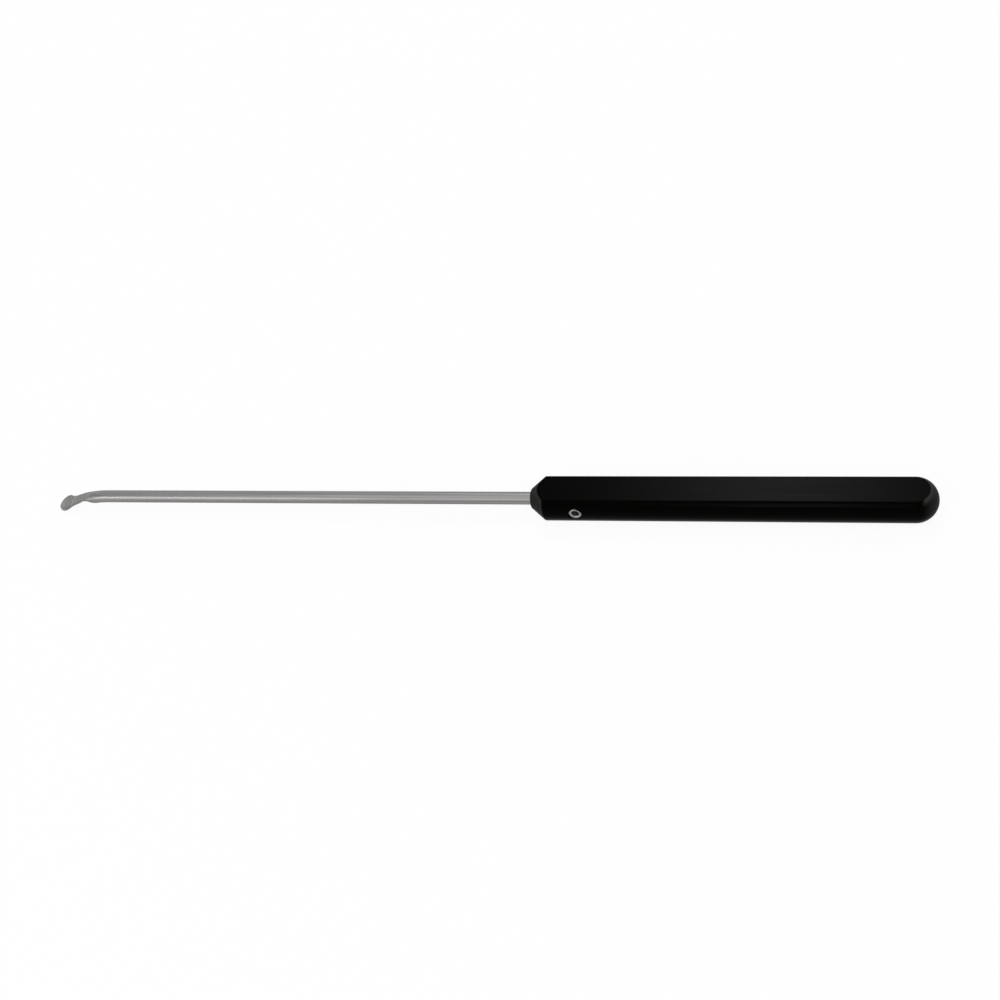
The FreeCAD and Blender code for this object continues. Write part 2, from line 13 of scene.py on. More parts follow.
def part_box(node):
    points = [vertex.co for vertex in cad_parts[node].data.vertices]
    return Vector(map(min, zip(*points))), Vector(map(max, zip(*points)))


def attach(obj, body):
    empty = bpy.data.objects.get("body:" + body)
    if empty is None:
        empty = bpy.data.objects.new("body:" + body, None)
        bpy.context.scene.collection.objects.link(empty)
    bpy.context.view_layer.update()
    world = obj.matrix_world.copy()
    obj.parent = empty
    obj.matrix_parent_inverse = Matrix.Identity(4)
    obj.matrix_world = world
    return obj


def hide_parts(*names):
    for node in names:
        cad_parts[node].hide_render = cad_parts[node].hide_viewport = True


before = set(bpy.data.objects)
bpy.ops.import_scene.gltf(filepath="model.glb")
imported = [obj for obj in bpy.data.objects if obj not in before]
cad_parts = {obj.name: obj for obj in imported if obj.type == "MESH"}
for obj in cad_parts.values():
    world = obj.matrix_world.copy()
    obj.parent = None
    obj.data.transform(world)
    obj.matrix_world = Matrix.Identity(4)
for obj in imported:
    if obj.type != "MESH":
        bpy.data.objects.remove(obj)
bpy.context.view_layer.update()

for node in ("handle", "shaft", "set_screw"):
    low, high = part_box(node)
    print(node, [round(v * 1000, 2) for v in (*low, *high)], "mm")


# %% [markdown]
# Every size is in millimetres and the same as in the CAD model. Points are worked out from
# the bar's axis and lifted into the frame at the very end. The frame has its floor at the
# lower flat, so the axis runs half the width across flats above it.
# %% Sizes of the instrument
BAR_RADIUS = 12.7 / 2
HALF_FLATS = 9.525 / 2
HANDLE_LENGTH = 113.7
NOSE_RADIUS = 5.6 / 2
NOSE_HALF_ANGLE = math.radians(40)
ROD_RADIUS = 3.7 / 2
BORE_RADIUS = 3.72 / 2
SCREW_SETBACK = 13.5
NOSE_X = -HANDLE_LENGTH / 2
DOME_X = HANDLE_LENGTH / 2 - BAR_RADIUS
SCREW_X = NOSE_X + SCREW_SETBACK
SCREW_TILT = math.radians(5)
SCREW_OUT = Vector((0, -math.cos(SCREW_TILT), math.sin(SCREW_TILT)))
SCREW_SIDE = Vector((0, math.sin(SCREW_TILT), math.cos(SCREW_TILT)))
EDGE_SOFTNESS = 0.14


def to_frame(point):
    x, y, z = point
    return Vector((x, y, z + HALF_FLATS)) / 1000


print("the dome starts at", DOME_X, "mm and the screw sits at", SCREW_X, "mm")


# %% [markdown]
# A turned or drawn piece is a stack of rings. One helper joins rings that have the same
# number of points and closes the ends with a fan round a pole. A shared edge is what makes
# a surface shade smoothly, so points are shared and never doubled.
# %% Helper that skins a stack of rings
def skin(name, rings, first_pole=None, last_pole=None):
    count = len(rings[0])
    points = [to_frame(p) for ring in rings for p in ring]
    faces = []
    for row in range(len(rings) - 1):
        for k in range(count):
            a, b = row * count + k, row * count + (k + 1) % count
            faces.append((a, b, b + count, a + count))
    for pole, row in ((first_pole, 0), (last_pole, len(rings) - 1)):
        if pole is not None:
            points.append(to_frame(pole))
            for k in range(count):
                a, b = row * count + k, row * count + (k + 1) % count
                faces.append((a, b, len(points) - 1))
    mesh = bpy.data.meshes.new(name)
    mesh.from_pydata(points, [], faces)
    return finish_mesh(mesh)


def finish_mesh(mesh, sharp_angle=None):
    shape = bmesh.new()
    shape.from_mesh(mesh)
    bmesh.ops.remove_doubles(shape, verts=shape.verts, dist=1e-7)
    bmesh.ops.recalc_face_normals(shape, faces=shape.faces)
    shape.to_mesh(mesh)
    shape.free()
    mesh.shade_smooth()
    if sharp_angle is not None:
        mesh.set_sharp_from_angle(angle=math.radians(sharp_angle))
    return mesh


def place(name, mesh):
    piece = bpy.data.objects.new(name, mesh)
    bpy.context.collection.objects.link(piece)
    return piece


# %% [markdown]
# No real edge is perfectly sharp: the smallest rounding catches a line of light, and that
# line tells the eye how the piece was made. This helper replaces a corner between two
# straight runs with a short curve that leaves along one run and arrives along the other.
# %% Helper that rounds a corner
def soft_corner(before, corner, after, steps=4):
    curve = []
    for k in range(steps + 1):
        t = k / steps
        curve.append(tuple(a * (1 - t) ** 2 + 2 * b * t * (1 - t) + c * t ** 2
                           for a, b, c in zip(before, corner, after)))
    return curve


def soften(outline, reach):
    softened = [outline[0]]
    for before, corner, after in zip(outline, outline[1:], outline[2:]):
        first, second = Vector(before) - Vector(corner), Vector(after) - Vector(corner)
        cut = min(reach, first.length * 0.45, second.length * 0.45)
        softened += soft_corner(tuple(Vector(corner) + first.normalized() * cut), corner,
                                tuple(Vector(corner) + second.normalized() * cut))
    return softened + [outline[-1]]


print("a corner becomes", len(soft_corner((0, 1), (0, 0), (1, 0))), "points")


# %% [markdown]
# The handle is a half inch bar. A lathe cut its nose cone and its domed end, and a mill
# cut two flats. Each ring is therefore a circle with two sides taken off, where the bar is
# thick enough to reach the flats. Near the ends it isn't, and the side shrinks to nothing,
# which draws the pointed arch on the cone and the half circle on the dome.
# %% Rings of the handle
FLAT_LIMIT = math.radians(88)
SIDE_STEPS = 24
NOSE_ROUNDING = 0.2
CONE_STEPS = 60
HOLE_RING_GAP = 0.2
DOME_RINGS = 118
DOME_STEP = 0.75


def bar_ring(x, radius):
    corner = min(math.asin(min(1.0, HALF_FLATS / radius)), FLAT_LIMIT)
    half, top = radius * math.cos(corner), radius * math.sin(corner)
    reach = min(EDGE_SOFTNESS, 0.4 * half)
    last = corner - reach / radius
    side = [(radius * math.cos(a), radius * math.sin(a))
            for a in (last * (k / SIDE_STEPS - 1) for k in range(2 * SIDE_STEPS + 1))]
    edge = soft_corner(side[-1], (half, top), (half - reach, top))[1:]
    inner = half - reach
    flat = [(inner * t, top) for t in (0.99, 0.8, 0.4, 0, -0.4, -0.8, -0.99)]
    right = side + edge + flat
    far_edge = [(-y, z) for y, z in reversed(edge)]
    turned = [(-y, -z) for y, z in right + far_edge]
    return [(x, y, z) for y, z in right + far_edge + turned]


def bar_profile():
    cone = (BAR_RADIUS - NOSE_RADIUS) / math.tan(NOSE_HALF_ANGLE)
    corners = [(NOSE_X, 0.9), (NOSE_X, NOSE_RADIUS), (NOSE_X + cone, BAR_RADIUS),
               (NOSE_X + cone + 3, BAR_RADIUS)]
    outline = soften(corners, NOSE_ROUNDING)
    face_end = outline[1:6]
    cone_start, cone_end = outline[5], outline[6]
    steps = [(cone_start[0] + (cone_end[0] - cone_start[0]) * k / CONE_STEPS,
              cone_start[1] + (cone_end[1] - cone_start[1]) * k / CONE_STEPS)
             for k in range(1, CONE_STEPS)]
    near_hole = [(SCREW_X + HOLE_RING_GAP * k, BAR_RADIUS) for k in range(-16, 17)]
    straight = [(x, BAR_RADIUS) for x in (-36, -30, -20, -10, 0, 10, 20, 30, 40, 47, 49.5)]
    dome = [(DOME_X + BAR_RADIUS * math.sin(a), BAR_RADIUS * math.cos(a))
            for a in (math.radians(k * DOME_STEP) for k in range(DOME_RINGS))]
    return [outline[0], *face_end, *steps, *outline[6:], *near_hole, *straight, *dome]


profile = bar_profile()
bar_mesh = skin("handle_skin", [bar_ring(x, r) for x, r in profile],
                (NOSE_X, 0, 0), (HANDLE_LENGTH / 2, 0, 0))
print("the bar has", len(profile), "rings and", len(bar_mesh.polygons), "faces")


# %% [markdown]
# The bore and the tapped hole are drilled into the closed bar, as on the real one. A
# Boolean does this exactly, where a hole made by leaving faces out would need a hand-laid
# patch. Each drill is a turned shape with a flared lip, which leaves the small bevel at
# the mouth of the hole.
# %% Drill the handle
ROUND_STEPS = 96
OVERRUN = 2.0
BORE_DEPTH = 39.5
BORE_FLARE = 0.2
DRILL_HALF_ANGLE = math.radians(59)
HOLE_RADIUS = 2.01
HOLE_FLARE = 0.15


def drill(name, outline, centre, axis):
    """Turned cutter. The outline gives distance along the axis and radius."""
    across = Vector(axis).orthogonal().normalized()
    side = Vector(axis).cross(across)
    rings = []
    for along, radius in outline[1:-1]:
        rings.append([tuple(Vector(centre) + Vector(axis) * along + radius * (
            side * math.cos(a) + across * math.sin(a)))
            for a in (2 * math.pi * k / ROUND_STEPS for k in range(ROUND_STEPS))])
    ends = [tuple(Vector(centre) + Vector(axis) * outline[k][0]) for k in (0, -1)]
    return place(name, skin(name, rings, *ends))


def cut(piece, cutter):
    step = piece.modifiers.new("Drilled", "BOOLEAN")
    step.operation, step.solver, step.object = "DIFFERENCE", "EXACT", cutter
    evaluated = piece.evaluated_get(bpy.context.evaluated_depsgraph_get())
    mesh = bpy.data.meshes.new_from_object(evaluated)
    piece.modifiers.remove(step)
    piece.data = mesh
    bpy.data.objects.remove(cutter)


handle = place("handle_bar", bar_mesh)
bore = drill("bore", [(-OVERRUN, 0), (-OVERRUN, BORE_RADIUS + (OVERRUN + BORE_FLARE)),
                      (BORE_FLARE, BORE_RADIUS), (BORE_DEPTH, BORE_RADIUS),
                      (BORE_DEPTH + BORE_RADIUS / math.tan(DRILL_HALF_ANGLE), 0)],
             (NOSE_X, 0, 0), (1, 0, 0))
cut(handle, bore)
hole_end = BAR_RADIUS + (OVERRUN - HOLE_FLARE)
hole = drill("hole", [(0, 0), (0, HOLE_RADIUS), (BAR_RADIUS - HOLE_FLARE, HOLE_RADIUS),
                      (hole_end, HOLE_RADIUS + OVERRUN), (hole_end, 0)],
             (SCREW_X, 0, 0), SCREW_OUT)
cut(handle, hole)
finish_mesh(handle.data, 38)
print("the drilled handle has", len(handle.data.polygons), "faces")


# %% [markdown]
# The rod runs straight, bends down once and ends in the blade. The bend is a plain arc, so
# the height of any line along the rod follows from how far it lies above or below the
# middle. The blade is then only what grinding leaves: a flat face above, a belly and the
# hollow of a wheel below, and a hollow at each side.
# %% The rod's line and what the wheels leave
TANG_END = NOSE_X + 38
BLADE_END = NOSE_X - 151.3
BEND_X = BLADE_END + 18.1
BEND_RADIUS = 25.5
BEND_ANGLE = math.radians(22.5)
ROOT_X = BLADE_END + 9.2
TOP_HEIGHT = 1.17
ROOT_THICKNESS = 0.62
END_THICKNESS = 0.4
BELLY_RADIUS = 25.0
UNDER_WHEEL = 5.0
UNDER_WHEEL_X = BLADE_END + 10.9
SIDE_WHEEL = 9.0
NECK = 2.8 / 2
LEAF = 5.2 / 2
LEAF_HOLLOW = 4.5
BELLY_PAST_END = 0.5
NO_CUT = 20.0


def rod_height(x, offset):
    """Height at x of the line that runs this far above the rod's middle."""
    reach = BEND_RADIUS + offset
    along = BEND_X - x
    if along <= 0:
        return offset
    if along <= reach * math.sin(BEND_ANGLE):
        return math.sqrt(reach ** 2 - along ** 2) - BEND_RADIUS
    end = reach * math.cos(BEND_ANGLE) - BEND_RADIUS
    return end - (along - reach * math.sin(BEND_ANGLE)) * math.tan(BEND_ANGLE)


def top_face(x):
    end = BEND_X - BEND_RADIUS * math.sin(BEND_ANGLE)
    middle = -BEND_RADIUS * (1 - math.cos(BEND_ANGLE)) - (end - x) * math.tan(BEND_ANGLE)
    return middle + TOP_HEIGHT / math.cos(BEND_ANGLE)


def belly_foot(x, thickness):
    return Vector((x, top_face(x) - thickness / math.cos(BEND_ANGLE)))


def under_face(x):
    """The rounded belly under the leaf and, behind the root, the hollow of the wheel."""
    root = belly_foot(ROOT_X, ROOT_THICKNESS)
    end = belly_foot(BLADE_END - BELLY_PAST_END, END_THICKNESS)
    if x <= ROOT_X:
        chord = root - end
        rise = math.sqrt(BELLY_RADIUS ** 2 - chord.length_squared / 4)
        centre = (root + end) / 2 + Vector((-chord.y, chord.x)).normalized() * rise
        return centre.y - math.sqrt(BELLY_RADIUS ** 2 - (x - centre.x) ** 2)
    middle = root.y - math.sqrt(UNDER_WHEEL ** 2 - (UNDER_WHEEL_X - ROOT_X) ** 2)
    if abs(x - UNDER_WHEEL_X) >= UNDER_WHEEL:
        return -NO_CUT
    return middle + math.sqrt(UNDER_WHEEL ** 2 - (x - UNDER_WHEEL_X) ** 2)


def side_face(x):
    along = max(0.0, x - ROOT_X)
    if along >= SIDE_WHEEL:
        return NO_CUT
    return NECK + SIDE_WHEEL - math.sqrt(SIDE_WHEEL ** 2 - along ** 2)


print("thickness at the root and at the end:",
      [round(top_face(x) - under_face(x), 2) for x in (ROOT_X, BLADE_END)])


# %% [markdown]
# Each ring of the rod is cut by an upright plane. Between two wheels it keeps the round of
# the rod, and where a wheel reached it, it has a flat. At the root both flats lie above the
# rod's middle. As on the handle, a flat that hasn't started yet is a chord too short to
# see, so all rings keep the same points.
# %% Rings of the rod
BLADE_EDGE = 0.09
UPPER_FLAT_FROM = math.radians(2)
LOWER_FLAT_FROM = math.radians(-60)
HALVINGS = 40
FACE_SHARES = (0.03, 0.3, 0.7, 0.97)
BLADE_RINGS = 150
BLADE_RUN = 12.0
RING_CROWDING = 1.1
BEND_RING_GAP = 0.4


def flat_angle(x, level, sign):
    """Where on the rod's round the upper or lower ground face starts."""
    low, high = (UPPER_FLAT_FROM if sign > 0 else LOWER_FLAT_FROM), FLAT_LIMIT
    if sign * (rod_height(x, sign * ROD_RADIUS * math.sin(high)) - level) < 0:
        return high
    for _ in range(HALVINGS):
        middle = (low + high) / 2
        if sign * (rod_height(x, sign * ROD_RADIUS * math.sin(middle)) - level) < 0:
            low = middle
        else:
            high = middle
    return low


def half_section(x, width):
    """Points of one side, from the upper face's edge down to the lower face's edge."""
    upper = flat_angle(x, top_face(x), 1)
    lower = flat_angle(x, under_face(x), -1)

    def on_round(angle):
        return (min(width, ROD_RADIUS * math.cos(angle)),
                rod_height(x, ROD_RADIUS * math.sin(angle)))

    top, bottom = on_round(upper), on_round(-lower)
    reach_top, reach_bottom = min(BLADE_EDGE, 0.4 * top[0]), min(BLADE_EDGE, 0.4 * bottom[0])
    first, last = upper - reach_top / ROD_RADIUS, -lower + reach_bottom / ROD_RADIUS
    side = [on_round(first + (last - first) * k / SIDE_STEPS) for k in range(SIDE_STEPS + 1)]
    over = soft_corner((top[0] - reach_top, top[1]), top, side[0])
    below = soft_corner(side[-1], bottom, (bottom[0] - reach_bottom, bottom[1]))
    return over[:-1] + side + below[1:]


def close_ring(x, right, left):
    """A whole ring from the points of both sides, with support points on each face."""
    top, bottom = right[0], right[-1]
    far_top, far_bottom = left[0], left[-1]
    under = [tuple(Vector(bottom).lerp(Vector(far_bottom), t)) for t in FACE_SHARES]
    over = [tuple(Vector(far_top).lerp(Vector(top), t)) for t in FACE_SHARES]
    return [(x, y, z) for y, z in right + under + list(reversed(left)) + over]


def rod_ring(x):
    right = half_section(x, side_face(x))
    return close_ring(x, right, [(-y, z) for y, z in right])


blade_stations = [ROOT_X + BLADE_RUN * (k / BLADE_RINGS) ** RING_CROWDING
                  for k in range(1, BLADE_RINGS + 1)]
bend_stations = [blade_stations[-1] + k * BEND_RING_GAP for k in range(1, 8)]
rod_rings = [rod_ring(x) for x in blade_stations + bend_stations]
rod_rings += [rod_ring(x) for x in (-175, -150, -125, -100, -80, -65, -57, -50, -40)]
print(len(rod_rings), "rings, the blade starts at", round(ROOT_X, 2), "mm")


# %% [markdown]
# The tang ends deep in the bore, where nobody sees it, but it is made whole: a small flat
# under the screw's point and a bevelled end. Two rings at the same place make the step at
# each end of the flat.
# %% Tang
SEAT_DEPTH = 1.0
SEAT_LENGTH = 9.0
TANG_BEVEL = 0.3
SEAT = ROD_RADIUS - SEAT_DEPTH


def seat_ring(x):
    """A ring whose round is cut back to the flat under the screw."""
    ring = []
    for point in rod_ring(x):
        over = max(0.0, Vector(point).dot(SCREW_OUT) - SEAT)
        ring.append(tuple(Vector(point) - SCREW_OUT * over))
    return ring


seat_start, seat_end = SCREW_X - SEAT_LENGTH / 2, SCREW_X + SEAT_LENGTH / 2
tang_rings = [rod_ring(seat_start), seat_ring(seat_start), seat_ring(seat_end),
              rod_ring(seat_end), rod_ring(TANG_END - TANG_BEVEL)]
small = (ROD_RADIUS - TANG_BEVEL) / ROD_RADIUS
tang_rings.append([(TANG_END, y * small, z * small) for _, y, z in rod_ring(TANG_END)])
rod_rings = [ring for ring in rod_rings if ring[0][0] < seat_start - 0.01] + tang_rings
print("the tang ends at", TANG_END, "mm")


# %% [markdown]
# The leaf isn't made of rings. Its outline is walked once round, from one side of the neck
# through the hollow curve and round the end to the other side. At each step of the walk a
# short column of points goes over the edge, from the upper face to the lower one. The
# upper face is then filled in one piece, which keeps it truly flat. The belly below is
# rounded along the blade, so it gets a strip across for every pair of steps.
# %% Outline of the leaf
NECK_STEPS = 12
HOLLOW_STEPS = 24
END_STEPS = 60


def leaf_walk():
    """Points of the outline with their outward direction, from the +Y side of the neck."""
    middle = BLADE_END + LEAF
    run = math.sqrt((LEAF + LEAF_HOLLOW) ** 2 - (NECK + LEAF_HOLLOW) ** 2)
    turn = math.atan2(NECK + LEAF_HOLLOW, run)
    walk = []
    for k in range(1, NECK_STEPS):
        walk.append((ROOT_X + (middle + run - ROOT_X) * k / NECK_STEPS, NECK, 0.0, 1.0))
    for k in range(HOLLOW_STEPS + 1):
        a = -math.pi / 2 - (math.pi / 2 - turn) * k / HOLLOW_STEPS
        walk.append((middle + run + LEAF_HOLLOW * math.cos(a),
                     NECK + LEAF_HOLLOW + LEAF_HOLLOW * math.sin(a), -math.cos(a), -math.sin(a)))
    for k in range(1, END_STEPS):
        a = turn + (math.pi - turn) * k / END_STEPS
        walk.append((middle + LEAF * math.cos(a), LEAF * math.sin(a), math.cos(a), math.sin(a)))
    walk.append((BLADE_END, 0.0, -1.0, 0.0))
    return walk + [(x, -y, nx, -ny) for x, y, nx, ny in reversed(walk[:-1])]


walk = leaf_walk()
print("the walk has", len(walk), "steps and is", round(2 * max(p[1] for p in walk), 2), "mm wide")


# %% [markdown]
# At the neck the leaf takes over the last ring of the rod. To close the seam, both use the
# same rule for the column of points: how far it stands in from the outline, and how far
# below the upper or above the lower face it lies.
# %% Build the shaft
def edge_column(x_edge, y_edge, nx, ny):
    top_room = (top_face(x_edge) - under_face(x_edge)) * 0.4
    reach = min(BLADE_EDGE, top_room)
    column = []
    for inset, drop in soft_corner((reach, 0), (0, 0), (0, reach))[:-1]:
        x, y = x_edge - nx * inset, y_edge - ny * inset
        column.append((x, y, top_face(x) - drop))
    high, low = top_face(x_edge) - reach, under_face(x_edge) + reach
    for k in range(SIDE_STEPS + 1):
        column.append((x_edge, y_edge, high + (low - high) * k / SIDE_STEPS))
    for inset, rise in soft_corner((0, reach), (0, 0), (reach, 0))[1:]:
        x, y = x_edge - nx * inset, y_edge - ny * inset
        column.append((x, y, under_face(x) + rise))
    return column


def build_shaft():
    root_right = edge_column(ROOT_X, NECK, 0, 1)
    root_left = edge_column(ROOT_X, -NECK, 0, -1)
    root = close_ring(ROOT_X, [p[1:] for p in root_right], [p[1:] for p in root_left])
    rings = [root] + rod_rings
    count = len(root)
    points = [p for ring in rings for p in ring]
    faces = []
    for row in range(len(rings) - 1):
        for k in range(count):
            a, b = row * count + k, row * count + (k + 1) % count
            faces.append((a, b, b + count, a + count))
    points.append((TANG_END, 0, 0))
    last = (len(rings) - 1) * count
    faces += [(last + k, last + (k + 1) % count, len(points) - 1) for k in range(count)]
    depth, fill = len(root_right), len(FACE_SHARES)
    right = list(range(depth))
    left = [2 * depth + fill - 1 - k for k in range(depth)]
    columns = [right]
    for step in walk:
        start = len(points)
        points.extend(edge_column(*step))
        columns.append(list(range(start, start + depth)))
    columns.append(left)
    for one, other in zip(columns, columns[1:]):
        faces += [(one[k], other[k], other[k + 1], one[k + 1]) for k in range(depth - 1)]
    over = list(range(2 * depth + fill, 2 * (depth + fill)))
    under = list(range(depth, depth + fill))
    faces.append([c[0] for c in columns] + over)
    middle = len(columns) // 2
    faces.append([right[-1], columns[1][-1], columns[-2][-1], left[-1]] + under[::-1])
    for one in range(1, middle - 1):
        other = len(columns) - 1 - one
        faces.append([columns[one][-1], columns[one + 1][-1],
                      columns[other - 1][-1], columns[other][-1]])
    faces.append([columns[k][-1] for k in (middle - 1, middle, middle + 1)])
    mesh = bpy.data.meshes.new("shaft_rod")
    mesh.from_pydata([to_frame(p) for p in points], [], faces)
    return place("shaft_rod", finish_mesh(mesh, 50))


shaft = build_shaft()
print("the shaft has", len(shaft.data.polygons), "faces")


# %% [markdown]
# The set screw is seen end on, half a millimetre down in its hole. What catches the light
# is the flat ring round its hexagon socket. The body is turned in one go: point, core,
# collar and ring, then down into the socket, whose ring of points is pulled out to six
# corners.
# %% Set screw
SCREW_LENGTH = 5.0
POINT_RADIUS = 1.25
CORE_RADIUS = 1.62
COLLAR_RADIUS = 1.9
FACE_RADIUS = 1.74
SOCKET_MOUTH = 1.3
SOCKET_HALF = 1.0
SOCKET_DEPTH = 1.8
SOCKET_TURN = 2 * math.pi * 5 / ROUND_STEPS


def screw_point(along, radius, angle):
    """A point of the screw, with the distance taken from its point outwards."""
    spot = SCREW_OUT * (SEAT + along) + SCREW_SIDE * (radius * math.sin(angle))
    return (SCREW_X + radius * math.cos(angle), spot.y, spot.z)


def screw_ring(along, radius):
    return [screw_point(along, radius, 2 * math.pi * k / ROUND_STEPS)
            for k in range(ROUND_STEPS)]


def hexagon_ring(along, half_across):
    ring = []
    for k in range(ROUND_STEPS):
        a = 2 * math.pi * k / ROUND_STEPS
        off = (a + SOCKET_TURN) % (math.pi / 3) - math.pi / 6
        ring.append(screw_point(along, half_across / math.cos(off), a))
    return ring


top = SCREW_LENGTH
point_rings = [screw_ring(0, 1.2), screw_ring(0.05, POINT_RADIUS),
               screw_ring(0.42, CORE_RADIUS), screw_ring(top - 0.7, CORE_RADIUS)]
collar_rings = [screw_ring(top - 0.5, 1.86), screw_ring(top - 0.14, COLLAR_RADIUS),
                screw_ring(top - 0.03, 1.79), screw_ring(top, FACE_RADIUS),
                screw_ring(top, SOCKET_MOUTH), screw_ring(top - 0.03, 1.25)]
socket_rings = [hexagon_ring(top - 0.16, SOCKET_HALF), hexagon_ring(top - 0.3, SOCKET_HALF),
                hexagon_ring(top - SOCKET_DEPTH, SOCKET_HALF),
                screw_ring(top - SOCKET_DEPTH, 0.8)]
screw_rings = point_rings + collar_rings + socket_rings
screw_mesh = skin("set_screw_body", screw_rings, screw_point(0, 0, 0),
                  screw_point(top - 2.2, 0, 0))
screw_mesh.set_sharp_from_angle(angle=math.radians(30))
screw = place("set_screw_body", screw_mesh)
print("the screw's face lies", round(BAR_RADIUS - SEAT - top, 2), "mm deep")


# %% [markdown]
# A thread is one ridge that winds round a cylinder, a rule rather than a shape, so
# Geometry Nodes make it. A spiral gives the path, a small triangle swept along it gives
# the ridge. The tree takes its sizes and its material as inputs, so other numbers would
# wind another thread.
# %% Tree that winds a thread
def thread_tree():
    tree = bpy.data.node_groups.new("ThreadTurns", "GeometryNodeTree")
    sockets = {}
    for title in ("Crest Radius", "Base Radius", "Pitch", "Turns"):
        sockets[title] = tree.interface.new_socket(
            title, in_out="INPUT", socket_type="NodeSocketFloat").identifier
    sockets["Material"] = tree.interface.new_socket(
        "Material", in_out="INPUT", socket_type="NodeSocketMaterial").identifier
    tree.interface.new_socket("Geometry", in_out="OUTPUT", socket_type="NodeSocketGeometry")
    node, link = tree.nodes.new, tree.links.new
    given = node("NodeGroupInput")

    def calculate(operation, a, b):
        step = node("ShaderNodeMath")
        step.operation = operation
        for socket, value in zip(step.inputs, (a, b)):
            if isinstance(value, (int, float)):
                socket.default_value = value
            else:
                link(value, socket)
        return step.outputs[0]

    spiral = node("GeometryNodeCurveSpiral")
    spiral.inputs["Resolution"].default_value = 48
    link(given.outputs["Turns"], spiral.inputs["Rotations"])
    link(given.outputs["Base Radius"], spiral.inputs["Start Radius"])
    link(given.outputs["Base Radius"], spiral.inputs["End Radius"])
    height = calculate("MULTIPLY", given.outputs["Pitch"], given.outputs["Turns"])
    link(height, spiral.inputs["Height"])
    profile_line = node("GeometryNodeCurvePrimitiveCircle")
    profile_line.inputs["Resolution"].default_value = 6
    rise = calculate("SUBTRACT", given.outputs["Crest Radius"], given.outputs["Base Radius"])
    link(calculate("ABSOLUTE", rise, 0.0), profile_line.inputs["Radius"])
    sweep = node("GeometryNodeCurveToMesh")
    sweep.inputs["Fill Caps"].default_value = True
    link(spiral.outputs["Curve"], sweep.inputs["Curve"])
    link(profile_line.outputs["Curve"], sweep.inputs["Profile Curve"])
    whole = node("GeometryNodeRealizeInstances")
    finish = node("GeometryNodeSetMaterial")
    link(sweep.outputs["Mesh"], whole.inputs["Geometry"])
    link(whole.outputs["Geometry"], finish.inputs["Geometry"])
    link(given.outputs["Material"], finish.inputs["Material"])
    link(finish.outputs["Geometry"], node("NodeGroupOutput").inputs["Geometry"])
    return tree, sockets


thread, thread_sockets = thread_tree()
print("the thread tree takes", ", ".join(thread_sockets))


# %% [markdown]
# Real metal is never one even tone. Two small effects carry all three finishes here. The
# first is grain: long threads of light and dark that run the way the tool or the die ran.
# The second is the fine ripple of turning, rings round an axis. Each is a node group, so
# a material only chooses how long, how fine and how strong.
# %% Shader groups for grain and turning
def shader_group(name, inputs, outputs):
    group = bpy.data.node_groups.new(name, "ShaderNodeTree")
    for title, kind, value in inputs:
        socket = group.interface.new_socket(title, in_out="INPUT", socket_type=kind)
        if value is not None:
            socket.default_value = value
    for title, kind in outputs:
        group.interface.new_socket(title, in_out="OUTPUT", socket_type=kind)
    return group, group.nodes.new("NodeGroupInput"), group.nodes.new("NodeGroupOutput")


def metal_grain():
    """Noise stretched along X. Scales are in lines per metre, along and across."""
    group, given, result = shader_group(
        "MetalGrain",
        [("Position", "NodeSocketVector", None), ("Along", "NodeSocketFloat", 40.0),
         ("Across", "NodeSocketFloat", 3000.0), ("Contrast", "NodeSocketFloat", 1.0)],
        [("Value", "NodeSocketFloat")])
    node, link = group.nodes.new, group.links.new
    size = node("ShaderNodeCombineXYZ")
    link(given.outputs["Along"], size.inputs["X"])
    link(given.outputs["Across"], size.inputs["Y"])
    link(given.outputs["Across"], size.inputs["Z"])
    stretch = node("ShaderNodeVectorMath")
    stretch.operation = "MULTIPLY"
    link(given.outputs["Position"], stretch.inputs[0])
    link(size.outputs[0], stretch.inputs[1])
    noise = node("ShaderNodeTexNoise")
    noise.inputs["Scale"].default_value = 1.0
    noise.inputs["Detail"].default_value = 4.0
    noise.inputs["Roughness"].default_value = 0.6
    link(stretch.outputs[0], noise.inputs["Vector"])
    centred = node("ShaderNodeMath")
    centred.operation = "SUBTRACT"
    centred.inputs[1].default_value = 0.5
    link(noise.outputs["Fac"], centred.inputs[0])
    strength = node("ShaderNodeMath")
    strength.operation = "MULTIPLY_ADD"
    strength.inputs[2].default_value = 0.5
    link(centred.outputs[0], strength.inputs[0])
    link(given.outputs["Contrast"], strength.inputs[1])
    link(strength.outputs[0], result.inputs["Value"])
    return group


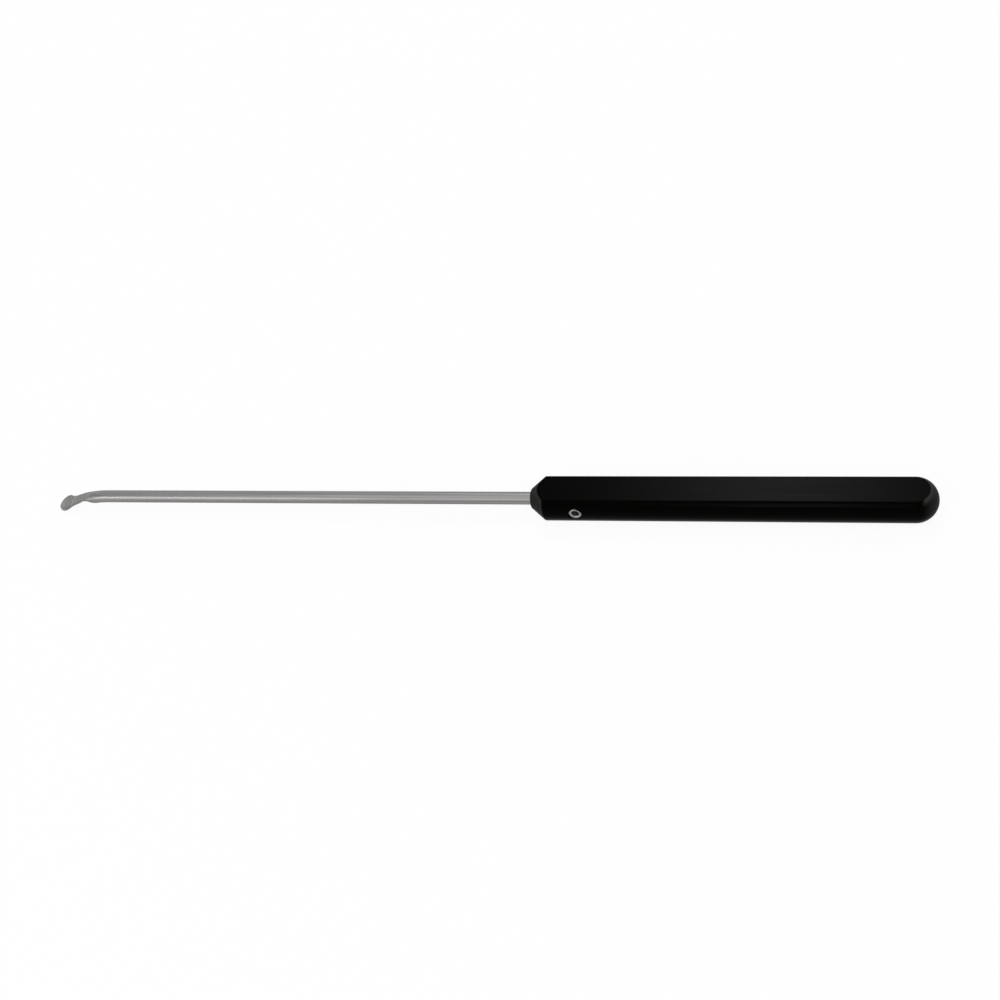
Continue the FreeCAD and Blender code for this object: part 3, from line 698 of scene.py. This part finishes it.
def turning_rings():
    """Ripple of a lathe tool: rings round the X axis through the given centre."""
    group, given, result = shader_group(
        "TurningRings",
        [("Position", "NodeSocketVector", None), ("Rings per Metre", "NodeSocketFloat", 8000.0),
         ("Unevenness", "NodeSocketFloat", 0.4)],
        [("Value", "NodeSocketFloat")])
    node, link = group.nodes.new, group.links.new
    split = node("ShaderNodeSeparateXYZ")
    link(given.outputs["Position"], split.inputs[0])
    flatten = node("ShaderNodeCombineXYZ")
    link(split.outputs["Y"], flatten.inputs["Y"])
    link(split.outputs["Z"], flatten.inputs["Z"])
    distance = node("ShaderNodeVectorMath")
    distance.operation = "LENGTH"
    link(flatten.outputs[0], distance.inputs[0])
    away = node("ShaderNodeMath")
    away.operation = "SUBTRACT"
    link(distance.outputs["Value"], away.inputs[0])
    link(split.outputs["X"], away.inputs[1])
    count = node("ShaderNodeMath")
    count.operation = "MULTIPLY"
    link(away.outputs[0], count.inputs[0])
    link(given.outputs["Rings per Metre"], count.inputs[1])
    noise = node("ShaderNodeTexNoise")
    noise.noise_dimensions = "1D"
    noise.inputs["Scale"].default_value = 1.0
    noise.inputs["Detail"].default_value = 2.0
    link(given.outputs["Unevenness"], noise.inputs["Distortion"])
    link(count.outputs[0], noise.inputs["W"])
    link(noise.outputs["Fac"], result.inputs["Value"])
    return group


GRAIN = metal_grain()
RINGS = turning_rings()
print("groups:", GRAIN.name, "and", RINGS.name)


# %% [markdown]
# The three finishes share a way of building. A small helper holds the node tree of one
# material, so that each finish below reads as a list of what the real surface has.
# %% Helper for a material
class Finish:
    def __init__(self, name):
        self.material = bpy.data.materials.new(name)
        self.material.use_nodes = True
        self.tree = self.material.node_tree
        self.shader = self.tree.nodes["Principled BSDF"]
        self.position = self.add("ShaderNodeTexCoord").outputs["Object"]

    def add(self, kind, **values):
        node = self.tree.nodes.new(kind)
        for title, value in values.items():
            setattr(node, title, value)
        return node

    def feed(self, socket, value):
        if isinstance(value, (int, float, tuple)):
            socket.default_value = value
        else:
            self.tree.links.new(value, socket)

    def group(self, group, **inputs):
        node = self.add("ShaderNodeGroup", node_tree=group)
        self.feed(node.inputs["Position"], inputs.pop("position", self.position))
        for title, value in inputs.items():
            self.feed(node.inputs[title.replace("_", " ")], value)
        return node.outputs["Value"]

    def blend(self, share, low, high):
        """A number that goes from low to high as the share goes from 0 to 1."""
        node = self.add("ShaderNodeMapRange")
        self.feed(node.inputs["Value"], share)
        self.feed(node.inputs["To Min"], low)
        self.feed(node.inputs["To Max"], high)
        return node.outputs["Result"]

    def mix(self, share, low, high):
        node = self.add("ShaderNodeMix", data_type="RGBA")
        self.feed(node.inputs[0], share)
        self.feed(node.inputs[6], low)
        self.feed(node.inputs[7], high)
        return node.outputs[2]

    def math(self, operation, a, b):
        node = self.add("ShaderNodeMath", operation=operation)
        self.feed(node.inputs[0], a)
        self.feed(node.inputs[1], b)
        return node.outputs[0]

    def along(self, axis, start, end):
        """0 before the start and 1 past the end, in millimetres along the frame's axis."""
        split = self.add("ShaderNodeSeparateXYZ")
        self.feed(split.inputs[0], self.position)
        node = self.add("ShaderNodeMapRange", interpolation_type="SMOOTHSTEP")
        self.feed(node.inputs["Value"], split.outputs[axis])
        low, high = sorted((start, end))
        node.inputs["From Min"].default_value = low / 1000
        node.inputs["From Max"].default_value = high / 1000
        node.inputs["To Min"].default_value = 0.0 if start < end else 1.0
        node.inputs["To Max"].default_value = 1.0 if start < end else 0.0
        return node.outputs["Result"]

    def between_flats(self):
        """1 on the round of the bar and 0 on its two flats."""
        split = self.add("ShaderNodeSeparateXYZ")
        self.feed(split.inputs[0], self.position)
        height = self.math("SUBTRACT", split.outputs["Z"], HALF_FLATS / 1000)
        return self.math("LESS_THAN", self.math("ABSOLUTE", height, 0.0),
                         (HALF_FLATS - 0.02) / 1000)

    def facing_side(self):
        """1 where the surface faces along Y, 0 where it faces up, down or along X."""
        split = self.add("ShaderNodeSeparateXYZ")
        self.feed(split.inputs[0], self.add("ShaderNodeNewGeometry").outputs["Normal"])
        node = self.add("ShaderNodeMapRange", interpolation_type="SMOOTHSTEP")
        self.feed(node.inputs["Value"], self.math("ABSOLUTE", split.outputs["Y"], 0.0))
        node.inputs["From Min"].default_value = 0.6
        node.inputs["From Max"].default_value = 0.95
        return node.outputs["Result"]

    def bump(self, height, depth, strength=1.0, after=None):
        node = self.add("ShaderNodeBump")
        node.inputs["Strength"].default_value = strength
        node.inputs["Distance"].default_value = depth / 1000
        self.feed(node.inputs["Height"], height)
        if after is not None:
            self.feed(node.inputs["Normal"], after)
        return node.outputs["Normal"]


print("a finish starts from Blender's own Principled shader")


# %% [markdown]
# The bar is anodised black over drawn and milled aluminium. It is nearly as dark as black
# gets and takes only a weak sheen from the lights, softer on the milled flats than on the
# drawn round. The turned ends were left rougher. The cone and the dome are painted greyer,
# a painted sheen for the light that the ripple of the lathe tool scatters, and a painted
# highlight makes them lighter still just under the upper flat.
# %% Black anodised finish
def black_anodised():
    finish = Finish("black_anodised")
    cone_end = NOSE_X + (BAR_RADIUS - NOSE_RADIUS) / math.tan(NOSE_HALF_ANGLE)
    high = finish.along("Z", HALF_FLATS + 2.8, HALF_FLATS + 4.6)
    cone = finish.along("X", cone_end + 0.05, cone_end - 0.1)
    # Painted highlight: the top of the cone and the dome, just under the upper flat, is painted
    # lighter.
    painted_highlight = finish.math("MULTIPLY", high, finish.math(
        "MAXIMUM", finish.math("MULTIPLY", cone, 0.3),
        finish.along("X", DOME_X + 1.8, DOME_X + 3.2)))
    dome = finish.math("MAXIMUM", painted_highlight, finish.along("X", DOME_X + 2.0, DOME_X + 6.0))
    ends = finish.math("MAXIMUM", dome, cone)
    rounded = finish.between_flats()
    turned = finish.math("MULTIPLY", ends, rounded)
    grain = finish.group(GRAIN, Along=25.0, Across=2600.0, Contrast=1.6)
    blast = finish.group(GRAIN, Along=9000.0, Across=9000.0, Contrast=1.5)
    centre = finish.add("ShaderNodeMapping")
    finish.feed(centre.inputs["Vector"], finish.position)
    centre.inputs["Location"].default_value = (0, 0, -HALF_FLATS / 1000)
    ripple = finish.group(RINGS, position=centre.outputs[0], Rings_per_Metre=9000.0)
    body = finish.mix(grain, (0.0005, 0.0003, 0.0002, 1), (0.0009, 0.0006, 0.0004, 1))
    # Painted sheen: the greyer colour of the turned ends stands in for light that the lathe
    # ripple scatters; the ripple's own unevenness in it is real.
    painted_sheen = finish.mix(ripple, (0.011, 0.011, 0.0105, 1), (0.019, 0.019, 0.0185, 1))
    # The painted highlight lifts the painted sheen of the turned ends to a lighter grey.
    grey = finish.mix(painted_highlight, painted_sheen, (0.034, 0.034, 0.032, 1))
    finish.feed(finish.shader.inputs["Base Color"], finish.mix(turned, body, grey))
    smooth = finish.math("SUBTRACT", finish.blend(grain, 0.23, 0.28),
                         finish.math("MULTIPLY", rounded, 0.09))
    finish.feed(finish.shader.inputs["Roughness"], finish.math(
        "ADD", smooth, finish.math("MULTIPLY", turned, 0.29)))
    finish.shader.inputs["Specular IOR Level"].default_value = 0.015
    fine = finish.bump(blast, 0.002, 0.35)
    lathe = finish.bump(finish.math("MULTIPLY", ripple, turned), 0.006, 0.6, after=fine)
    finish.feed(finish.shader.inputs["Normal"], lathe)
    return finish.material


# %% [markdown]
# The rod is stainless steel, drawn through a die and then rubbed down along its length, so
# its light breaks into long thin streaks. Its lower half is painted a little darker, as
# painted shade. The blade was ground across and then blasted: no streaks, a fine tooth and
# a slightly duller, cooler grey. Its narrow side walls are painted darker, as painted shade.
# %% Satin steel finish
def satin_steel():
    finish = Finish("satin_steel")
    ground = finish.along("X", ROOT_X + 3.4, ROOT_X + 0.8)
    streaks = finish.group(GRAIN, Along=12.0, Across=1500.0, Contrast=2.2)
    hair = finish.group(GRAIN, Along=40.0, Across=4000.0, Contrast=1.6)
    tooth = finish.group(GRAIN, Along=11000.0, Across=11000.0, Contrast=2.0)
    patches = finish.group(GRAIN, Along=180.0, Across=700.0, Contrast=1.4)
    drawn = finish.mix(streaks, (0.172, 0.168, 0.166, 1), (0.36, 0.352, 0.349, 1))
    cross = finish.group(GRAIN, Along=1500.0, Across=350.0, Contrast=3.0)
    wear = finish.math("MULTIPLY", finish.math("ADD", patches, cross), 0.5)
    blasted = finish.mix(wear, (0.17, 0.173, 0.168, 1), (0.43, 0.436, 0.424, 1))
    # Painted shade: the blade's side walls, which face along Y, are painted darker.
    blasted = finish.mix(finish.math("MULTIPLY", finish.facing_side(), 0.5), blasted,
                         (0.12, 0.122, 0.118, 1))
    # Painted shade: the rod is painted darker towards its lower half.
    below = finish.along("Z", HALF_FLATS + 0.6, HALF_FLATS - 0.6)
    drawn = finish.mix(finish.math("MULTIPLY", below, 0.55), drawn, (0.12, 0.12, 0.12, 1))
    finish.feed(finish.shader.inputs["Base Color"], finish.mix(ground, drawn, blasted))
    finish.shader.inputs["Metallic"].default_value = 1.0
    rough_rod = finish.blend(streaks, 0.32, 0.42)
    rough_blade = finish.blend(patches, 0.42, 0.52)
    share = finish.add("ShaderNodeMix")
    finish.feed(share.inputs[0], ground)
    finish.feed(share.inputs[2], rough_rod)
    finish.feed(share.inputs[3], rough_blade)
    finish.feed(finish.shader.inputs["Roughness"], share.outputs[0])
    rod_only = finish.math("SUBTRACT", 1.0, ground)
    drawn_bump = finish.bump(finish.math("MULTIPLY", hair, rod_only), 0.004, 0.1)
    blade_bump = finish.bump(finish.math("MULTIPLY", tooth, ground), 0.006, 0.5,
                             after=drawn_bump)
    finish.feed(finish.shader.inputs["Normal"], blade_bump)
    return finish.material


# %% [markdown]
# The screw's end face is bright from the lathe, with fine rings round its socket. They lie
# round the screw's own axis, which looks along -Y and a little up, so the position is
# turned to that axis before it goes into the same ripple group as the handle's ends.
# %% Bright screw finish
def screw_steel():
    finish = Finish("screw_steel")
    turn = finish.add("ShaderNodeMapping", vector_type="TEXTURE")
    finish.feed(turn.inputs["Vector"], finish.position)
    lean = Matrix.Rotation(-SCREW_TILT, 3, "X") @ Matrix.Rotation(-math.pi / 2, 3, "Z")
    turn.inputs["Rotation"].default_value = lean.to_euler()
    turn.inputs["Location"].default_value = to_frame((SCREW_X, 0, 0))
    ripple = finish.group(RINGS, position=turn.outputs[0], Rings_per_Metre=14000.0)
    stain = finish.group(GRAIN, Along=1500.0, Across=1500.0, Contrast=1.8)
    finish.feed(finish.shader.inputs["Base Color"],
                finish.mix(stain, (0.18, 0.178, 0.175, 1), (0.34, 0.335, 0.33, 1)))
    finish.shader.inputs["Metallic"].default_value = 1.0
    finish.feed(finish.shader.inputs["Roughness"], finish.blend(ripple, 0.22, 0.36))
    finish.feed(finish.shader.inputs["Normal"], finish.bump(ripple, 0.004, 0.5))
    return finish.material


black = black_anodised()
steel = satin_steel()
bright = screw_steel()
for piece, material in ((handle, black), (shaft, steel), (screw, bright)):
    piece.data.materials.clear()
    piece.data.materials.append(material)
print("materials:", black.name, steel.name, bright.name)


# %% [markdown]
# Now the thread is wound round the core of the screw. The spiral of the tree climbs along Z
# from the origin, so the finished mesh is turned to the screw's own axis and moved to its
# place. The object itself stays at the origin, because a finished piece keeps its place in
# its mesh.
# %% Wind the screw's thread
THREAD_START = 0.6
THREAD_CREST = 1.92
THREAD_PITCH = 0.7
THREAD_TURNS = 5.0


def wind(name, start, settings, material):
    holder = place(name, bpy.data.meshes.new(name))
    step = holder.modifiers.new("Thread", "NODES")
    step.node_group = thread
    for title, value in settings.items():
        step[thread_sockets[title]] = value
    step[thread_sockets["Material"]] = material
    evaluated = holder.evaluated_get(bpy.context.evaluated_depsgraph_get())
    mesh = bpy.data.meshes.new_from_object(evaluated)
    holder.modifiers.remove(step)
    turn = Matrix.Rotation(math.pi / 2 - SCREW_TILT, 4, "X")
    mesh.transform(Matrix.Translation(to_frame(screw_point(start, 0, 0))) @ turn)
    holder.data = finish_mesh(mesh, 50)
    return holder


screw_thread = wind("set_screw_thread", THREAD_START,
                    {"Crest Radius": THREAD_CREST / 1000, "Base Radius": CORE_RADIUS / 1000,
                     "Pitch": THREAD_PITCH / 1000, "Turns": THREAD_TURNS}, bright)
print("thread faces:", len(screw_thread.data.polygons))


# %% [markdown]
# The instrument was photographed from above its near side with a short telephoto view:
# the bar's near end looks larger than the blade. The camera's place, direction and lens
# were fitted together to edges and points measured in the picture. Two directions are
# given, to the right and forward, and upward follows from them.
# %% Camera
CAMERA_PLACE = Vector((85.955, -319.287, 437.828))
RIGHT = Vector((0.962142, 0.165434, -0.216599))
FORWARD = Vector((-0.272513, 0.570963, -0.774427))
SENSOR_WIDTH = 36.0
LENS = 70.153
SHIFT_DOWN = 0.00195

camera_data = bpy.data.cameras.new("camera")
camera = bpy.data.objects.new("camera", camera_data)
bpy.context.collection.objects.link(camera)
across = (RIGHT - FORWARD * RIGHT.dot(FORWARD)).normalized()
up = across.cross(FORWARD).normalized()
facing = Matrix((across, up, -FORWARD)).transposed().to_4x4()
camera.matrix_world = Matrix.Translation(CAMERA_PLACE / 1000) @ facing
camera_data.sensor_width = SENSOR_WIDTH
camera_data.lens = LENS
camera_data.shift_y = -SHIFT_DOWN
camera_data.clip_start = 0.01
bpy.context.scene.camera = camera
print("the camera looks from", [round(v, 3) for v in camera.location])


# %% [markdown]
# The instrument lies on a plain pale floor under soft light. The floor is wide enough to
# fill the picture and to be the background as well. Large lamps leave only a faint shadow.
# The lamp behind the handle lies where the upper flat mirrors it, which gives the long
# soft glow along the black bar. A narrow one in front does the same for the round below,
# and one at the front left lights the edge of the blade.
# %% Floor and light
FLOOR_LIFT = 0.93
ROOM_LIGHT = 0.76


def floor_material():
    finish = Finish("pale_floor")
    finish.shader.inputs["Roughness"].default_value = 0.9
    finish.shader.inputs["Specular IOR Level"].default_value = 0.0
    paper = finish.group(GRAIN, Along=400.0, Across=400.0, Contrast=0.4)
    finish.feed(finish.shader.inputs["Base Color"],
                finish.mix(paper, (0.86, 0.86, 0.86, 1), (0.88, 0.88, 0.88, 1)))
    white = finish.add("ShaderNodeEmission")
    seen = finish.add("ShaderNodeLightPath")
    share = finish.math("MAXIMUM", seen.outputs["Is Camera Ray"], finish.math(
        "MAXIMUM", seen.outputs["Is Glossy Ray"], seen.outputs["Is Transmission Ray"]))
    join = finish.add("ShaderNodeMixShader")
    finish.feed(join.inputs[0], finish.math("MULTIPLY", share, FLOOR_LIFT))
    finish.feed(join.inputs[1], finish.shader.outputs[0])
    finish.feed(join.inputs[2], white.outputs[0])
    finish.feed(finish.tree.nodes["Material Output"].inputs["Surface"], join.outputs[0])
    return finish.material


def lamp(name, place_mm, target_mm, size_mm, watts):
    data = bpy.data.lights.new(name, "AREA")
    data.shape = "RECTANGLE"
    data.size, data.size_y = size_mm[0] / 1000, size_mm[1] / 1000
    data.energy = watts
    light = bpy.data.objects.new(name, data)
    bpy.context.collection.objects.link(light)
    start, target = Vector(place_mm) / 1000, Vector(target_mm) / 1000
    light.location = start
    light.rotation_euler = (target - start).to_track_quat("-Z", "Y").to_euler()
    return light


floor_mesh = bpy.data.meshes.new("floor")
floor_mesh.from_pydata([(-4, -4, 0), (4, -4, 0), (4, 4, 0), (-4, 4, 0)], [], [(0, 1, 2, 3)])
floor_mesh.materials.append(floor_material())
floor = place("floor", floor_mesh)
lamp("overhead", (0, -250, 1500), (0, 0, 0), (1400, 900), 2.5)
lamp("behind", (-130, 640, 870), (13, 0, 10), (130, 160), 1.8)
lamp("front", (-93, -800, 350), (19, 0, 5), (90, 260), 0.3)
lamp("front_left", (-660, -780, 430), (-198, 0, 5), (450, 450), 2.1)
world = bpy.data.worlds.new("room")
world.use_nodes = True
world.node_tree.nodes["Background"].inputs["Color"].default_value = (1, 1, 1, 1)
world.node_tree.nodes["Background"].inputs["Strength"].default_value = ROOM_LIGHT
bpy.context.scene.world = world
bpy.context.scene.view_settings.view_transform = "Standard"
print("floor, four lamps and a pale room")


# %% [markdown]
# Last, each finer piece takes the place of its CAD node. The thread has no node of its own
# and rides on the same body as its screw.
# %% Hand over
for piece, node, slot in ((handle, "handle", "black_handle"), (shaft, "shaft", "satin_steel"),
                          (screw, "set_screw", "screw_steel")):
    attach(piece, "root")
    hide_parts(node)
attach(screw_thread, "root")
